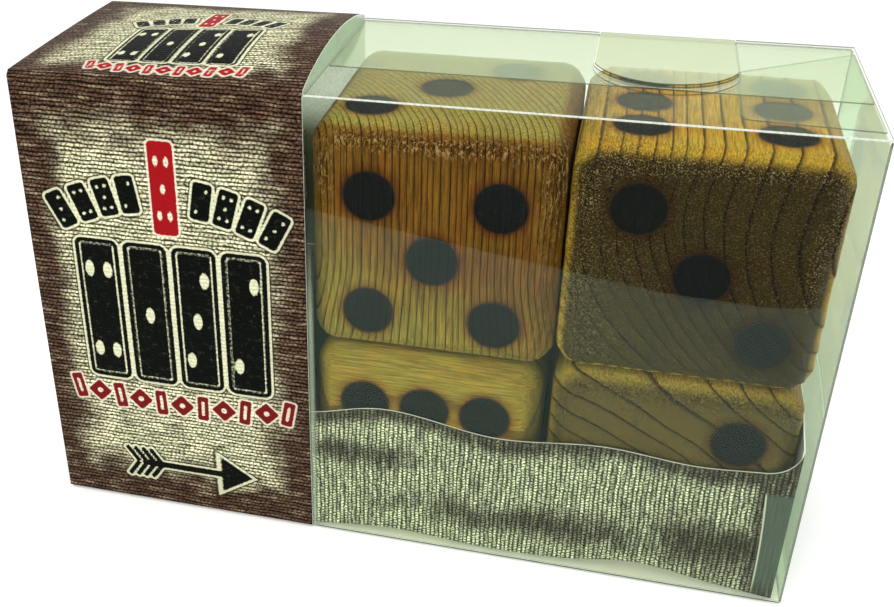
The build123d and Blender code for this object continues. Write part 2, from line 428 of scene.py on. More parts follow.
def pip_distance(points, look, half):
    """How far each point is from the rim of the nearest pip: less than zero inside one."""
    nearest = np.full(len(points), 60.0)
    for face, value in look["values"].items():
        for side, number in ((face, value), (FACES[face][2], 7 - value)):
            outward, first = (np.array(v, float) for v in FACES[side][:2])
            second = np.cross(outward, first)
            on_side = points @ outward > half - DIE_ROUND
            shift = look["shift"].get(side, (0, 0))
            for u, v in pip_places(number):
                if side in look["turned"]:
                    u, v = -v, u
                along = points @ first - u * PIP_PITCH - shift[0]
                across = points @ second - v * PIP_PITCH - shift[1]
                rim = np.hypot(along, across) - PIP_RADIUS
                nearest = np.where(on_side, np.minimum(nearest, rim), nearest)
    return nearest


def ring_count(points, look):
    """The growth-ring coordinate: whole numbers lie on the dark latewood lines."""
    fibre = look["fibre"]
    p, q = (points[:, axis] for axis in range(3) if axis != fibre)
    along = points[:, fibre]
    stretch = np.ones(3)
    stretch[fibre] = 0.35
    waver = noise(points * stretch, 34, 3) * look["waver"]
    waver += noise(points * stretch, 13, 7) * look["waver"] * 0.3
    spread = 1 + look["flare"] * smooth_step(-along, 5, 45)
    pith_p, pith_q = look["pith"]
    sweep = look["sweep"] * np.clip((look["sweep_from"] - q) / 50, 0, None) ** 2
    radius = np.hypot((p - sweep) / spread - pith_p + waver, q - pith_q + waver * 0.6)
    radius += look["taper"] * (along / 10) ** 2
    ring = radius ** look["power"] / look["spacing"]
    years = np.stack([ring, 0 * ring, 0 * ring], -1)
    return ring + 0.4 * noise(years, 2.3, 51)


def wood(name, look):
    """Oiled softwood with raised latewood, fibre streaks, scorched pips, and painted glints and
    painted shade specks on its rough crushed fibres.
    """
    s = Shader(name)
    ring, pip, end, wear, olive_and_haze = map(s.attribute, ("ring", "pip", "end", "wear", "olive_and_haze"))
    fibre = s.attribute("fibre", "Vector")
    place = s.place()

    streak = s.noise(s.vector("MULTIPLY", fibre, (1, 1, 0.05)), 1.6, 4, 0.65)
    pores = s.noise(s.vector("MULTIPLY", fibre, (1, 1, 0.14)), 4.2, 2, 0.6)
    cloud = s.noise(place, 38, 3)
    patch = s.noise(place, 95, 2)

    part = s.math("FRACT", s.add(ring, s.swing(streak, 0.12)))
    line = look["line"]
    late = s.ramp(part, ((0.0, 0.75), (line * 0.3, 0.1), (line, 0.0), (1 - 4.5 * line, 0.04),
                         (1 - 2 * line, 0.2), (1 - line, 0.85), (1 - line * 0.4, 1.0),
                         (1.0, 0.95)))
    late = s.multiply(late, s.fade(cloud, 0.2, 0.55, 0.7, 1.0))

    # a paler, more olive colour is mixed in towards one side: partly wood tone, partly a painted
    # reflection of the haze the clear film lays over the lower part of the die
    base = s.mix(late, s.mix(olive_and_haze, look["early"], look["olive_and_haze"]), look["late"])
    grain = s.multiply(s.fade(streak, 0.28, 0.72, 0.5, 1.35), s.fade(pores, 0.3, 0.7, 0.84, 1.16))
    base = s.tint(base, s.grey(grain))
    dark = s.tint(base, (0.6, 0.5, 0.42))
    base = s.mix(s.fade(cloud, 0.5, 0.75, 0, 0.6), base, dark)
    warm = s.tint(base, (1.25, 0.92, 0.5))
    base = s.mix(s.fade(patch, 0.42, 0.7, 0, 0.5), base, warm)

    shade = look["end_shade"]
    base = s.mix(end, base, s.tint(base, (shade, shade * 1.04, shade * 1.5)))

    # painted highlights and painted shade: pale glints and dark pits speckle the crushed fibres
    # where the edges and the end grain are rough; the same specks also raise the bump
    scale, stretch = look["speck"]
    specks = s.noise(s.vector("MULTIPLY", fibre, (1, 1, stretch)), scale, 3, 0.7, 0.8)
    rough = s.math("MAXIMUM", wear, s.multiply(end, 0.2))
    painted_glint = s.multiply(s.fade(specks, 0.56, 0.62), rough)
    painted_pit_shade = s.multiply(s.fade(specks, 0.50, 0.43), rough)
    base = s.mix(s.multiply(painted_pit_shade, 0.9), base, (0.016, 0.006, 0.002))
    base = s.mix(s.multiply(painted_glint, look["painted_glint"]), base, (0.62, 0.45, 0.21))

    # scorch round the burnt pips
    ragged = s.add(pip, s.swing(pores, 0.9))
    halo = s.fade(ragged, 0.0, 5.0, 0.75, 0.0)
    base = s.mix(halo, base, s.tint(base, (0.62, 0.33, 0.12)))
    edge = s.fade(ragged, -0.2, 1.5, 0.9, 0.0)
    base = s.mix(edge, base, (0.03, 0.012, 0.005))
    char = s.fade(ragged, -0.35, 0.35, 1.0, 0.0)
    ash = s.fade(s.noise(fibre, 0.7, 3), 0.6, 0.75)
    black = s.mix(ash, (0.004, 0.005, 0.006), (0.014, 0.016, 0.018))
    base = s.mix(char, base, black)

    height = s.add(s.multiply(late, 0.55), s.multiply(streak, 0.35))
    height = s.add(height, s.multiply(pores, 0.2))
    height = s.add(height, s.multiply(specks, s.multiply(rough, 1.8)))
    gloss = s.fade(pores, 0.3, 0.7, 0.38, 0.58)
    surface = s.principled({
        "Base Color": base, "Roughness": gloss, "Specular IOR Level": 0.12,
        "Normal": s.bump(height, 0.0005, 0.9)})
    return s.finish(surface)


def make_die(node, look):
    """A solid wood die with brushed grain, worn edges and burnt, slightly sunk pips."""
    low, high = cad_box(node)
    centre = (low + high) / 2
    half = float(high[0] - low[0]) / 2
    hidden = node == "die_under_sleeve"
    points, outward, quads = rounded_cube(half, DIE_ROUND, 72 if hidden else 124)
    ring = ring_count(points, look)
    pip = pip_distance(points, look, half)
    fibre_axis = look["fibre"]
    on_rim = smooth_step(outward[:, 2], 0.03, 0.25)     # the top rim keeps the side grain's tone
    end = smooth_step(np.abs(outward[:, fibre_axis]) - 0.16 * on_rim, 0.35, 0.78)

    # brushing wears the soft earlywood away between the latewood ridges, and edges wear unevenly
    edge = 1 - smooth_step(np.abs(outward).max(axis=1), 0.78, 1.0)
    part = ring % 1
    ridge = smooth_step(part, 0.35, 0.93) * (1 - smooth_step(part, 0.97, 1.0))
    sunk = look["relief"] * (1 - ridge) * (0.7 + 0.6 * edge)
    sunk += edge * (0.35 + 0.35 * noise(points, 9, 11)) + 0.06 * (1 + noise(points, 3, 5))
    inside = 1 - smooth_step(pip, -0.9, 0.15)
    sunk = sunk * (1 - inside) + inside * (PIP_DEPTH + 0.05 * noise(points, 2.5, 9))
    order = [axis for axis in range(3) if axis != fibre_axis] + [fibre_axis]
    to_edge = half - np.sort(np.abs(points), axis=1)[:, 1]
    wear = smooth_step(-to_edge, -12, -5) * (0.3 + 0.7 * smooth_step(points[:, 2], 0, 30))
    wear *= look["worn"] * (1 - 0.85 * smooth_step(outward[:, 2], 0.5, 0.85))
    wear += np.clip(points @ np.array(look["rough"]) / half, 0, 1)
    if look["scar"]:
        scar_x, scar_z = look["scar"]
        on_front = outward[:, 1] < -0.6
        wear += on_front * np.exp(-((points[:, 0] - scar_x) / 4) ** 2
                                  - ((points[:, 2] - scar_z) / 15) ** 2)
    wear = np.clip(wear, 0, 1) * (0.45 + 0.55 * smooth_step(noise(points, 14, 21), -0.6, 0.3))
    # painted reflection: paler and more olive towards one side, mostly low down, for the film's
    # reflected haze; the noise adds random wood tone, and the end grain can take the olive colour
    # too
    olive_and_haze = points @ np.array(look["hazed_side"]) / half + 0.3 * noise(points, 45, 27)
    on_end = smooth_step(np.abs(outward[:, fibre_axis]), 0.75, 0.95)
    olive_and_haze = np.maximum(smooth_step(olive_and_haze, -0.4, 0.9), on_end * look["olive_end"])
    values = dict(ring=ring, pip=pip, end=end, wear=wear, olive_and_haze=olive_and_haze, fibre=points[:, order])
    placed = points - outward * sunk[:, None] + centre
    made = make_piece(node + "_wood", placed, quads, [wood(node + "_wood", look)],
                      attributes=values)
    settle(made, node)


# ------------------------ printed art on the card

FAR = 50.0  # a distance that is clear of every printed shape
TILE_PITCH = 19.8
SMALL_TILE_PITCH = 9.3
DIAMOND_PITCH = 9.0
TAB_EDGE = 136.9  # where the tray's glued tab starts, from the pack's middle


def seen_from(x, z, cx, cz, angle):
    """Places measured from a centre, along axes turned by the angle."""
    c, s = math.cos(angle), math.sin(angle)
    return (x - cx) * c + (z - cz) * s, (z - cz) * c - (x - cx) * s


def shape_box(x, z, cx, cz, half_w, half_h, radius, angle=0.0):
    """Distance to a rounded rectangle: less than zero inside."""
    u, v = seen_from(x, z, cx, cz, angle)
    qx = np.abs(u) - half_w + radius
    qz = np.abs(v) - half_h + radius
    outside = np.hypot(np.maximum(qx, 0), np.maximum(qz, 0))
    return outside + np.minimum(np.maximum(qx, qz), 0) - radius


def shape_oval(x, z, cx, cz, half_w, half_h, angle=0.0):
    u, v = seen_from(x, z, cx, cz, angle)
    return (np.hypot(u / half_w, v / half_h) - 1) * min(half_w, half_h)


def tall_tile(x, z, cx, cz, half_w, half_h, value, angle=0.0):
    """A tall die face: a rounded tile, and the same tile with its frame line and pips left open."""
    tile = shape_box(x, z, cx, cz, half_w, half_h, half_w * 0.35, angle)
    shape = tile
    if half_w > 6:
        shape = np.maximum(shape, 0.42 - np.abs(tile + 2.1))
    c, s = math.cos(angle), math.sin(angle)
    for u, v in pip_places(value):
        along = u * half_w * 0.42
        up = v * half_h * 0.58
        px = cx + along * c - up * s
        pz = cz + along * s + up * c
        hole = shape_oval(x, z, px, pz, half_w * 0.21, half_h * 0.115, angle)
        shape = np.maximum(shape, -hole)
    return tile, shape


def arrow(x, z, cx, cz, half_w, half_h):
    """An arrow that points right, with a feathered tail."""
    shaft = shape_box(x, z, cx - half_w * 0.1, cz, half_w * 0.72, half_h * 0.16, 0.4)
    head_u = (x - (cx + half_w)) / (half_w * 0.5)
    head = np.maximum(np.abs(z - cz) / half_h + head_u, -head_u - 1) * half_h * 0.7
    shape = np.minimum(shaft, head)
    for k in range(4):
        fx = cx - half_w * (0.97 - 0.13 * k)
        for side in (-1, 1):
            feather = shape_box(x, z, fx, cz + side * half_h * 0.42, half_w * 0.035,
                                half_h * 0.5, 0.3, side * 0.6)
            shape = np.minimum(shape, feather)
    return shape


def sleeve_art(x, z, with_arrow):
    """Distances to the black shapes, to their outlines and to the red shapes of the print.
    x and z are in the front panel's millimetres, measured from the middle of the big tiles."""
    black, outline = np.full_like(x, FAR), np.full_like(x, FAR)
    tiles = [(TILE_PITCH * (k - 1.5), 0, 8.9, 31.5, value, 0)
             for k, value in enumerate((4, 1, 3, 2))]
    for side in (-1, 1):
        for k, value in enumerate((2, 5, 4, 3)):
            along = side * (14.5 + SMALL_TILE_PITCH * k)
            lift = 52.5 - 0.0055 * along * along
            tiles.append((along, lift, 3.7, 7.6, value, -0.011 * along))
    for cx, cz, half_w, half_h, value, angle in tiles:
        tile, shape = tall_tile(x, z, cx, cz, half_w, half_h, value, angle)
        outline = np.minimum(outline, tile)
        black = np.minimum(black, shape)
    red = tall_tile(x, z, 0, 55, 4.9, 18.8, 5)[1]
    for k in range(-5, 6):
        cx = DIAMOND_PITCH * k
        cz = -41.5 + 0.0016 * cx * cx
        if k % 2:
            shape = shape_box(x, z, cx, cz, 2.3, 5.8, 0.6, -0.004 * cx)
            hole = shape_box(x, z, cx, cz, 0.7, 3.6, 0.4, -0.004 * cx)
        else:
            shape = shape_box(x, z, cx, cz, 3.7, 3.7, 0.5, math.pi / 4)
            hole = shape_oval(x, z, cx, cz, 1.3, 1.3)
        red = np.maximum(np.minimum(red, shape), -hole)
    if with_arrow:
        pointer = arrow(x, z, 1.5, -74.0, 27, 9.0)
        black = np.minimum(black, pointer)
        outline = np.minimum(outline, pointer)
    return black, outline, red


def burlap_print(name, row_pitch, dash_pitch, dash_share, pale, gap, brown, inked=False,
                 tab=False):
    """Card printed with a burlap weave. The attribute "print" runs along the rows
    and then across them, in millimetres; "border" is the depth of the brown edge tone. A tab is
    the smooth blue-grey strip that glues the tray's right end, with its pale cut edge."""
    s = Shader(name)
    where = s.attribute("print", "Vector")
    u, v = s.split(where)[:2]
    drift = s.noise(where, 0.03, 2, 0.4)
    wobble = s.noise(s.vector("MULTIPLY", where, (0.5, 1, 1)), 0.42, 2)
    row = s.add(s.math("DIVIDE", v, row_pitch), s.multiply(drift, 1.6))
    row = s.add(row, s.swing(wobble, 0.85))
    dash = s.add(s.math("DIVIDE", u, dash_pitch), s.multiply(s.math("FLOOR", row), 0.47))
    dash = s.add(dash, s.swing(wobble, 2.2))
    row_gap = s.fade(s.wave("COSINE", row), 0.5, 0.97)
    dash_gap = s.fade(s.wave("COSINE", dash), 0.62, 0.98)
    fuzz = s.noise(where, 0.8, 3, 0.62)
    dark = s.math("MAXIMUM", row_gap, s.multiply(dash_gap, dash_share))
    dark = s.add(dark, s.swing(fuzz, 2.1), clamp=True)
    thread = s.noise(s.vector("MULTIPLY", where, (0.2, 1, 1)), 0.5, 3)
    light = s.fade(thread, 0.3, 0.7, 0.5, 1.4)
    weave = s.tint(s.mix(dark, pale, gap), s.grey(light))
    blot = s.noise(where, 0.04, 5, 0.62)
    depth = s.add(s.attribute("border"), s.swing(blot, 1.8))
    tone = s.multiply(s.fade(depth, 0.15, 1.0), s.fade(thread, 0.5, 0.75, 1.0, 0.82))
    base = s.mix(tone, weave, s.tint(weave, brown))
    if inked:
        rag = s.swing(s.noise(where, 0.9, 3), 0.7)
        black, outline, red = (s.add(s.attribute(ink), rag) for ink in ("black", "outline", "red"))
        rim = s.multiply(s.fade(outline, 1.75, 1.4), s.fade(outline, 0.9, 1.15))
        glow = s.multiply(s.fade(outline, 1.3, 0.9), 0.75)
        base = s.mix(glow, base, (0.72, 0.74, 0.5))
        base = s.mix(s.multiply(rim, 0.85), base, (0.02, 0.016, 0.012))
        worn = s.fade(s.noise(where, 0.35, 7, 0.8), 0.54, 0.70, 0.0, 0.7)
        ink = s.mix(worn, (0.002, 0.003, 0.002), (0.06, 0.066, 0.055))
        base = s.mix(s.fade(black, 0.25, -0.15), base, ink)
        glow = s.multiply(s.fade(red, 1.1, 0.6), 0.7)
        base = s.mix(glow, base, (0.85, 0.78, 0.62))
        worn = s.math("MAXIMUM", worn, s.fade(v, 66, 76, 0.75, 0.0))
        paint = s.mix(worn, (0.31, 0.005, 0.008), (0.11, 0.008, 0.009))
        base = s.mix(s.fade(red, 0.25, -0.15), base, paint)
    if tab:
        bend = s.multiply(s.math("POWER", s.math("SUBTRACT", u, 8.0), 2.0), 0.0011)
        past = s.add(s.math("SUBTRACT", v, TAB_EDGE), bend)
        reach = s.multiply(s.fade(u, 52.0, 49.5), s.fade(u, 2.0, 12.0, 0.3, 1.0))
        smooth = s.multiply(s.fade(past, -0.15, 0.1, 0.0, 0.8), reach)
        base = s.mix(smooth, base, (0.09, 0.12, 0.10))
        cut = s.multiply(s.fade(s.math("ABSOLUTE", past), 0.42, 0.2), reach)
        base = s.mix(s.multiply(cut, 0.85), base, (0.60, 0.66, 0.55))
    height = s.math("SUBTRACT", 1.0, dark)
    sheen = s.fade(fuzz, 0.3, 0.7, 0.42, 0.55)
    surface = s.principled({"Base Color": base, "Roughness": sheen,
                            "Specular IOR Level": 0.035, "Normal": s.bump(height, 0.00012, 0.5)})
    return s.finish(surface)


def raw_card(name, colour, glow, glow_from=-1.0):
    """Unprinted card and its cut edges: short grey fibres in white pulp, which glows with painted
    light of strength glow where it is higher than glow_from, in metres."""
    s = Shader(name)
    place = s.place()
    pulp = s.noise(place, 900, 4, 0.7)
    tone = s.fade(pulp, 0.3, 0.75, 0.82, 1.05)
    soft = s.fade(s.noise(place, 60, 2), 0.3, 0.7, 0.93, 1.03)
    base = s.tint(colour, s.grey(s.multiply(tone, soft)))
    height = s.split(place)[2]
    # painted light: the card glows in its own colour, with strength glow, where it is higher than
    # glow_from
    painted_glow = s.fade(height, glow_from, glow_from + 0.025, 0.0, glow)
    surface = s.principled({"Base Color": base, "Roughness": 0.8, "Emission Color": base,
                            "Emission Strength": painted_glow, "Normal": s.bump(pulp, 0.0001, 0.4)})
    return s.finish(surface)


# ------------------------ card sleeve

CARD = 0.5
SLEEVE_FOLD = 1.6  # radius of the creased edges
SLEEVE_HALF = 47.5  # from the middle to its front or back
SLEEVE_SIDE_TOP = 190.8
SLEEVE_BOW_RIGHT = 7.2  # how far the top bows up at its open end
SLEEVE_BOW_LEFT = 0.6
ART_MIDDLE = 95.0  # height of the middle of the big tiles
ART_SQUEEZE = 0.56  # the art on the top is this much of the front's height


def brown_edge(depth):
    """How strong the brown tone of the print is, at a depth in from the panel's border."""
    return 1.42 - depth / 17.0


def sleeve_section(x_share, inset):
    """One section of the sleeve, from the bottom's back edge round to the same place.
    Returns its points' y and z, and the panel of each point."""
    side = SLEEVE_HALF - inset
    low = inset
    high = SLEEVE_SIDE_TOP - inset
    bow = SLEEVE_BOW_LEFT + (SLEEVE_BOW_RIGHT - SLEEVE_BOW_LEFT) * x_share ** 0.8
    radius = max(SLEEVE_FOLD - inset, 0.3)
    front = spaced(low + radius, high - radius, 0.92)
    top = spaced(-side + radius, side - radius, 0.95)
    back = spaced(high - radius, low + radius, 3.2)
    bottom = spaced(side - radius, -side + radius, 6.0)
    lift = bow * (1 - (top / side) ** 2) ** 0.85
    parts = [
        (np.full_like(front, -side), front),
        (top, high + lift),
        (np.full_like(back, side), back),
        (bottom, np.full_like(bottom, low)),
    ]
    y, z = (np.concatenate(column) for column in zip(*parts))
    panel = np.concatenate([np.full(len(p[0]), k) for k, p in enumerate(parts)])
    return y, z, panel


def make_sleeve():
    """The printed card cap over the left of the box, its top bowed up at the open end."""
    low, high = cad_box("card_sleeve")
    x_line = spaced(low[0] + 0.4, high[0], 0.92)
    shares = (x_line - x_line[0]) / (x_line[-1] - x_line[0])
    outer, inner = [], []
    for x, share in zip(x_line, shares):
        for inset, rows in ((0.0, outer), (CARD, inner)):
            y, z, panel = sleeve_section(share, inset)
            rows.append(np.stack([np.full_like(y, x), y, z], -1))
    outer = np.stack(outer, 1)
    inner = np.stack(inner, 1)
    # the open end's front edge wanders a little, and the long panels are not quite flat
    for grid in (outer, inner):
        flex = 0.35 * noise(grid, 70, 31) + 0.12 * noise(grid, 23, 33)
        on_front = (panel == 0)[:, None] * np.sin(np.pi * np.clip(grid[..., 2] / 188, 0, 1))
        grid[..., 1] += on_front * (flex - 0.45)
    points, quads, sides = slab(outer, inner, closed=True)

    x, y, z = points.T
    both = np.tile(np.repeat(panel, len(x_line)), 2)
    middle = (low[0] + high[0]) / 2
    up = np.where(both == 1, SLEEVE_SIDE_TOP + y + SLEEVE_HALF, z)
    printed = np.stack([x, up, 0 * x], -1)
    printed[both == 2, 1] += 400        # the back shows another part of the weave
    on_front = sleeve_art(x - middle - 1.8, z - ART_MIDDLE, True)
    on_top = sleeve_art((x - middle - 2.5) / (ART_SQUEEZE * 1.15), (y + 16) / ART_SQUEEZE, False)
    black, outline, red = (np.where(both == 0, f, np.where(both == 1, t * ART_SQUEEZE, FAR))
                           for f, t in zip(on_front, on_top))
    across = np.minimum(x - low[0], high[0] - x)
    upright = np.minimum(z, 191 - z) / 1.45
    depth = np.minimum(across, np.where(both == 1, SLEEVE_HALF - np.abs(y), upright))
    material = burlap_print("printed_sleeve", 1.65, 1.8, 0.65, (0.90, 0.90, 0.58),
                            (0.045, 0.034, 0.018), (0.150, 0.085, 0.080), inked=True)
    # painted light: the inside board glows with strength 1.0 above 0.135 m, so the sleeve's mouth
    # looks lit
    board = raw_card("sleeve_inside", (0.46, 0.50, 0.45), 1.0, 0.135)
    # painted light: the white cut edges glow a little
    white = raw_card("sleeve_edge", (0.85, 0.88, 0.80), 0.2)
    made = make_piece("sleeve_print", points, quads, [material, board, white], sides,
                      dict(print=printed, black=black, outline=outline, red=red,
                           border=brown_edge(depth)))
    settle(made, "card_sleeve")
    make_sleeve_end(low[0], [material, board, white])


def make_sleeve_end(left, materials):
    """The closed left end of the sleeve, a glued panel with creased borders."""
    y_line = spaced(-46.6, 46.6, 2.4)
    t_line = np.linspace(0, 1, 80)
    y, t = np.meshgrid(y_line, t_line, indexing="ij")
    top = SLEEVE_SIDE_TOP - 0.6 + SLEEVE_BOW_LEFT * (1 - (y / SLEEVE_HALF) ** 2)
    z = 0.6 + t * (top - 0.6)
    sag = 0.3 * np.sin(np.pi * t) * np.cos(y / SLEEVE_HALF * np.pi / 2)
    outer = np.stack([left + sag, y, z], -1)
    inner = outer + (CARD, 0, 0)
    points, quads, sides = slab(outer, inner)
    x, y, z = points.T
    depth = np.minimum(SLEEVE_HALF - np.abs(y), np.minimum(z, 190 - z))
    far = np.full_like(x, FAR)
    values = dict(print=np.stack([y + 300, z, 0 * z], -1), black=far, outline=far, red=far,
                  border=brown_edge(depth))
    made = make_piece("sleeve_end", points, quads, materials, sides, values)
    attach(made, BODY_OF["card_sleeve"])


# ------------------------ card tray

TRAY_WAVE = ((-147.4, 58.5), (-95.0, 62.0), (-37.0, 58.2), (-12.0, 64.0), (38.0, 58.2),
             (76.0, 61.4), (112.0, 58.6), (132.5, 60.0))
TRAY_FOOT = ((-147.4, 1.8), (-40.0, 1.9), (-5.0, 5.6), (35.0, 3.6), (62.0, 4.4), (95.0, 8.6),
             (122.0, 4.6), (144.5, 1.8))     # the front fold lifts where the floor card bows
TRAY_SHOULDER = 12.0
TRAY_FLOOR = 1.3
TRAY_BACK = 84.0  # height of the back wall
# Each brown blot on the front wall: its strength, its middle and its half sizes
TRAY_BLOTS = ((1.15, 60, 20, 75, 9), (1.1, -22, 42, 30, 7), (1.2, 120, 22, 32, 16))
# The end wall's top, from the front to the back
TRAY_CREST = ((-46.2, 72.0), (-30.0, 77.5), (-10.0, 81.2), (20.0, 83.4), (46.2, TRAY_BACK))


def tray_top(x, right):
    """The front wall's wavy top, which ends in a quarter round up to the end wall."""
    wave = smooth_curve(TRAY_WAVE, np.minimum(x, right - TRAY_SHOULDER))
    turn = np.clip((x - (right - TRAY_SHOULDER)) / TRAY_SHOULDER, 0, 1)
    climb = TRAY_SHOULDER * (1 - np.sqrt(np.clip(1 - turn ** 2, 0, 1)))
    return wave + climb


def make_tray():
    """The folded card tray: scooped front wall, floor and back wall in one sheet, with the end
    wall glued to them."""
    low, high = cad_box("tray_insert")
    right = high[0]
    front, back = low[1], high[1]
    turn = np.linspace(0, np.pi / 2, 24)
    x_line = np.concatenate([spaced(low[0], right - TRAY_SHOULDER, 1.6)[:-1],
                             right - TRAY_SHOULDER + TRAY_SHOULDER * np.sin(turn)])
    foot = smooth_curve(TRAY_FOOT, x_line)
    top = tray_top(x_line, right)
    wall = np.linspace(1, 0, 46)
    floor = np.linspace(0, 1, 30)[1:]
    rear = np.linspace(0, 1, 20)[1:]
    outer, inner = [], []
    for x, z0, z1 in zip(x_line, foot, top):
        bow = 0.25 * math.sin(x / 23.0)
        floor_z = z0 * (1 - floor) + TRAY_FLOOR * floor
        y = np.concatenate([front + 0.25 + 0.25 * np.sin(wall * np.pi) * bow,
                            front + floor * (back - front), np.full(len(rear), back)])
        z = np.concatenate([z0 + wall * (z1 - z0), floor_z,
                            TRAY_FLOOR + rear * (TRAY_BACK - TRAY_FLOOR)])
        line = np.stack([np.full_like(y, x), y, z], -1)
        outer.append(line)
        step = np.zeros_like(line)
        step[:len(wall), 1] = CARD
        step[len(wall) - 1:len(wall) + len(floor), 2] = CARD
        step[len(wall) + len(floor) - 1:, 1] = -CARD
        inner.append(line + step)
    outer, inner = np.stack(outer, 1), np.stack(inner, 1)
    points, quads, sides = slab(outer, inner)
    x, y, z = points.T
    under_top = np.tile(tray_top(x_line, right), len(points) // len(x_line)) - z
    band = 1.35 - under_top / 8.0
    blots = [strength - np.hypot((x - cx) / half_w, (z - cz) / half_h) * 0.8
             for strength, cx, cz, half_w, half_h in TRAY_BLOTS]
    end_band = (x - 128) / 7.0
    border = np.maximum.reduce([band, *blots, end_band])
    printed = np.stack([z, x, 0 * x], -1)
    material = burlap_print("printed_tray", 1.7, 1.35, 0.95, (0.80, 0.86, 0.60),
                            (0.055, 0.06, 0.04), (0.21, 0.17, 0.17), tab=True)
    board = raw_card("tray_inside", (0.30, 0.31, 0.26), 0.0)
    # painted light: the white cut edges glow a little
    white = raw_card("tray_edge", (0.88, 0.90, 0.86), 0.2)
    made = make_piece("tray_print", points, quads, [material, board, white], sides,
                      {"print": printed, "border": border})
    settle(made, "tray_insert")

    y_line = spaced(front + 0.8, back - 0.8, 2.0)
    t_line = np.linspace(0, 1, 46)
    y, t = np.meshgrid(y_line, t_line, indexing="ij")
    crest = smooth_curve(TRAY_CREST, y)
    z = 1.9 + t * (crest - 1.9)
    outer = np.stack([np.full_like(y, right), y, z], -1)
    points, quads, sides = slab(outer, outer - (CARD, 0, 0))
    x, y, z = points.T
    values = {"print": np.stack([z, y + 300, 0 * z], -1), "border": 0.55 + 0 * z}
    end = make_piece("tray_end", points, quads, [material, board, white], sides, values)
    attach(end, BODY_OF["tray_insert"])


# ------------------------ clear film

FILM = 0.5  # thickness
VEIL_X = -37.0  # a pale strip of the front, beside the sleeve
BODY_TINT = (0.977, 0.988, 0.958)  # colour left after each face of the sheet
FLAP_TINT = (0.990, 0.993, 0.987)


def clear_film(name, creases, folds=(), flat=False, tint=FLAP_TINT, shine=(0.58, 0.80, 0.69),
               gain=0.9, veil=None):
    """Clear plastic sheet with a faint green cast, a painted highlight along its creases and
    painted shade along its sharp folds. Each is ((axis, place), (axis, place), half width), a line
    along the third axis.
    A flat flap is also dark on its cut edges, which carry the light that runs inside the sheet.
    A veil is one more such line, where the sheet is softly pale low down."""
    s = Shader(name)
    place = s.vector("SCALE", s.place())
    place.node.inputs["Scale"].default_value = 1 / MM
    facing = s.node("ShaderNodeLayerWeight", {"Blend": 0.5}).outputs["Facing"]
    mirror = s.add(s.multiply(s.math("POWER", facing, 5.0), gain), 0.015, clamp=True)
    through = s.mix(s.math("POWER", facing, 2.0), tint, tuple(c ** 6.0 for c in tint))
    clear = s.node("ShaderNodeBsdfTransparent", {"Color": through}).outputs[0]
    gloss = s.node("ShaderNodeBsdfGlossy", {"Color": (*shine, 1), "Roughness": 0.01}).outputs[0]
    film = s.cover(mirror, clear, gloss)
    axes = s.split(place)

    def nearness(lines):
        near = 9.0
        for (axis_a, a), (axis_b, b), width in lines:
            da = s.math("ABSOLUTE", s.math("SUBTRACT", axes[axis_a], a))
            db = s.math("ABSOLUTE", s.math("SUBTRACT", axes[axis_b], b))
            near = s.math("MINIMUM", near, s.math("DIVIDE", s.math("MAXIMUM", da, db), width))
        return near

    # painted shade: dark lines along the sharp folds, and on a flat flap's upright cut edges
    dark = s.fade(nearness(folds), 1.2, 0.7) if folds else 0.0
    if flat:
        upright = s.math("ABSOLUTE", s.split(s.place("Normal"))[2])
        dark = s.math("MAXIMUM", dark, s.math("LESS_THAN", upright, 0.5))
    if folds or flat:
        shadow = s.principled({"Base Color": (0.05, 0.07, 0.045, 1), "Roughness": 0.3})
        dark = s.multiply(dark, 0.7)
        film = s.cover(dark, film, shadow)
    if veil:
        pale_strip = s.principled({"Base Color": (0.62, 0.72, 0.54, 1), "Roughness": 0.6})
        pale = s.fade(nearness([veil]), 1.0, 0.2, 0.0, 0.3)
        pale = s.multiply(pale, s.fade(axes[2], 140, 95))
        film = s.cover(pale, film, pale_strip)
    if creases:
        # painted highlight: a pale, flecked band along each crease, where a rounded crease would
        # catch the light
        fleck = s.noise(place, 0.9, 3)
        white = s.fade(nearness(creases), 1.2, 0.7)
        white = s.multiply(white, s.fade(fleck, 0.2, 0.6, 0.55, 1.0))
        painted_crease_highlight = s.principled({"Base Color": (0.72, 0.76, 0.66, 1), "Roughness": 0.35})
        film = s.cover(white, film, painted_crease_highlight)
    return s.finish(film)


def paint_film():
    """Materials of the clear box and its flaps, which keep their CAD shapes."""
    low, high = cad_box("clear_box_body")
    lid_high = cad_box("clear_lid")[1]
    half = FILM / 2
    front, back, right = low[1] + half, high[1] - half, high[0] - half
    bottom, top = low[2] + half, lid_high[2] - half
    hinge = ((1, front), (2, top), 0.32)
    materials = {
        "clear_box_body": clear_film("clear_box_film", [
            hinge, ((0, right), (2, bottom), 0.4),
        ], [
            ((0, right), (1, front), 0.4), ((0, right), (1, back), 0.4),
            ((1, front), (2, bottom), 0.35),
        ], tint=BODY_TINT, veil=((0, VEIL_X), (1, front), 2.6)),
        "clear_lid": clear_film("clear_lid_film", [hinge], flat=True, shine=(0.80, 0.88, 0.62),
                                gain=0.34),
        "inner_flap": clear_film("clear_flap_film", [], [((1, back), (2, top - 0.8), 0.2)],
                                 flat=True, shine=(0.76, 0.88, 0.66), gain=2.0),
        "end_dust_flap": clear_film("clear_dust_film", [], [((0, right), (2, top - 1.6), 0.2)],
                                    flat=True, shine=(0.80, 0.90, 0.70), gain=0.5,
                                    tint=(0.985, 0.988, 0.975)),
        "lock_tongue": clear_film("clear_tongue_film", [], [((1, back), (2, top), 0.2)], flat=True,
                                  shine=(0.72, 0.80, 0.57), gain=3.4,
                                  tint=(0.985, 0.99, 0.965)),
    }
    for node, material in materials.items():
        piece = frame["nodes"][node]
        piece.data.materials.clear()
        piece.data.materials.append(material)


# ------------------------ burlap bag

